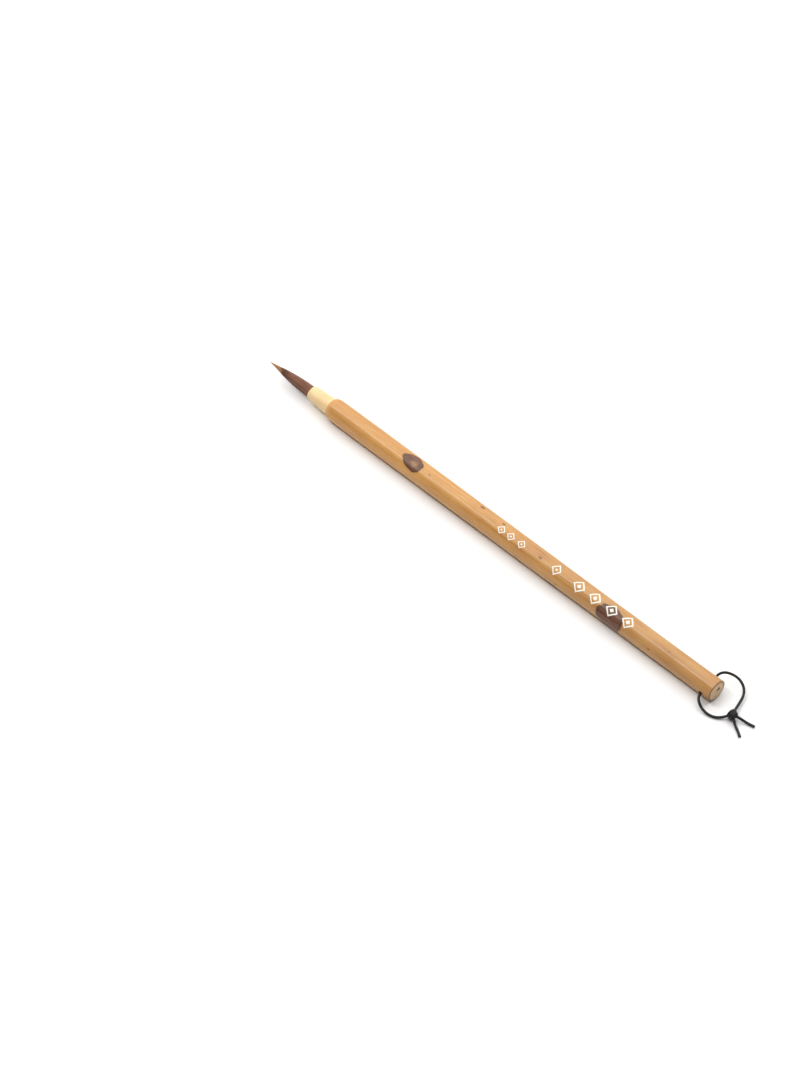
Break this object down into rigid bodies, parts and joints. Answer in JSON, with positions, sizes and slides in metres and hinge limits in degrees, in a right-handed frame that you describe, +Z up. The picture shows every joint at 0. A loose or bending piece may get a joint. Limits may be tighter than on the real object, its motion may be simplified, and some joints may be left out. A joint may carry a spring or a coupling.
{
  "type": "calligraphy brush",
  "caption": "Calligraphy brush: spotted bamboo handle, pale bamboo ferrule, pointed hair tuft that bends, and a knotted cord loop that swings in a cross hole.",
  "frame": {"origin": "under the middle of the brush's length (cord left out), on the surface that it lies on", "axes": "+X from the hair's tip to the sawn butt, +Y to the side, +Z up; the brush lies flat on its side"},
  "size_m": [0.2355, 0.0179, 0.0086],
  "materials": {
    "bamboo": "satin, tan-orange with brown-purple spots",
    "peeled_bamboo": "smooth satin, pale cream",
    "cover_hair": "fine dark brown hair, soft sheen",
    "core_hair": "fine amber hair",
    "padding_hair": "fine hair",
    "binding_thread": "twisted thread",
    "rosin": "glassy resin",
    "glue": "set glue",
    "waxed_cord": "black waxed cord"
  },
  "bodies": {
    "handle": {"handle": "bamboo", "ferrule": "peeled_bamboo", "ferrule_bond": "glue", "hair_collar": "padding_hair", "root_thread": "binding_thread", "root_seal": "rosin", "tuft_bond": "glue"},
    "tuft": {"hair_mantle": "cover_hair", "hair_core": "core_hair"},
    "hanging_cord": {"cord_loop": "waxed_cord", "cord_knot": "waxed_cord", "cord_tail_a": "waxed_cord", "cord_tail_b": "waxed_cord"}
  },
  "joints": [
    {"name": "tuft_bend", "type": "hinge", "parent": "handle", "child": "tuft", "pos_m": [-0.0864, 0, 0.00431], "axis": [0, 0, 1], "range_deg": [-35, 35], "stiffness_Nm_per_rad": 0.002, "deforming": ["hair_mantle", "hair_core"]},
    {"name": "loop_swing", "type": "hinge", "parent": "handle", "child": "hanging_cord", "pos_m": [0.1051, 0, 0.00431], "axis": [0, 0.9781, 0.2079], "range_deg": [-120, 120]}
  ]
}
